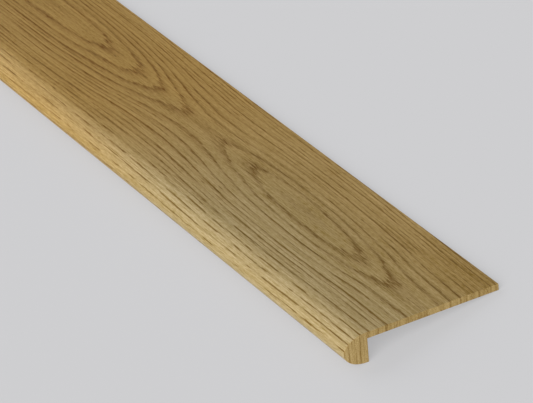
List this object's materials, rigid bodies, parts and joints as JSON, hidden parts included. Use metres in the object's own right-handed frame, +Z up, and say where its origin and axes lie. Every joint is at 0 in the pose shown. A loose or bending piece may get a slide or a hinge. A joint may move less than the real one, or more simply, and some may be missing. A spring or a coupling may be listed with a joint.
{
  "type": "stair tread molding",
  "caption": "Long solid oak molding that caps an old step: a thin flat board with a thick rounded nosing along its front and a lip behind it that hangs over the step's edge.",
  "frame": {"origin": "on the floor, under the middle of the molding's bounding box", "axes": "+X along the length, +Y from the nosing to the back edge, +Z up; the walking face slopes down to the back by 9.8 degrees, as the molding lies unheld"},
  "size_m": [1.524, 0.28, 0.0521],
  "materials": {
    "oak": "satin clear finish"
  },
  "bodies": {
    "root": {"tread_molding": "oak"}
  },
  "joints": []
}
